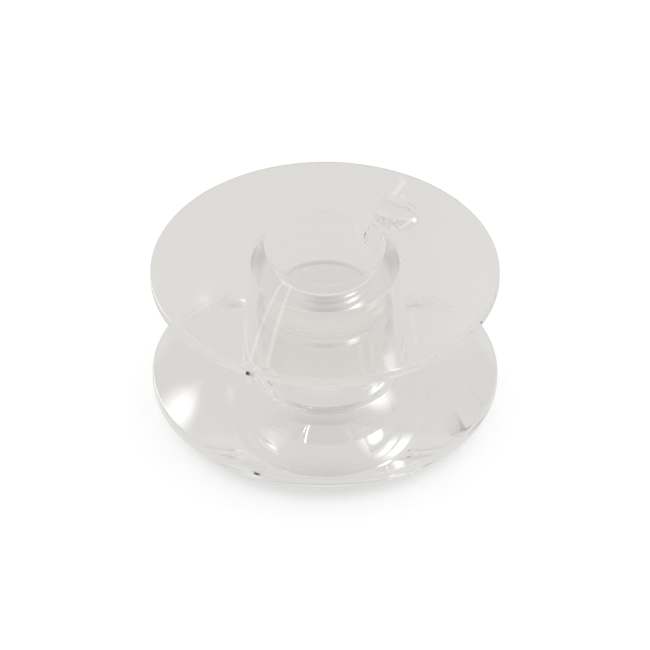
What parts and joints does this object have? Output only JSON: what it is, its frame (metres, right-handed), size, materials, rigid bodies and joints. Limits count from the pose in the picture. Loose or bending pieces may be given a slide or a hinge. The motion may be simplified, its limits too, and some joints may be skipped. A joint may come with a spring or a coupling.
{
  "type": "sewing machine bobbin",
  "caption": "Clear domed drop-in bobbin for a sewing machine: an upper flange with a sleeve hub pressed over the spigot of a lower flange.",
  "frame": {"origin": "on the spin axis, level with the hub's lower end face that the bobbin stands on", "axes": "+Z along the spin axis towards the flange that has the winding hole; +X and +Y lie across it, and the hole is 46.2 degrees from +X towards +Y"},
  "size_m": [0.0206, 0.0206, 0.0115],
  "materials": {
    "clear_upper": "clear moulded, polished",
    "clear_lower": "clear moulded, polished"
  },
  "bodies": {
    "root": {"upper_half": "clear_upper", "lower_half": "clear_lower"}
  },
  "joints": []
}
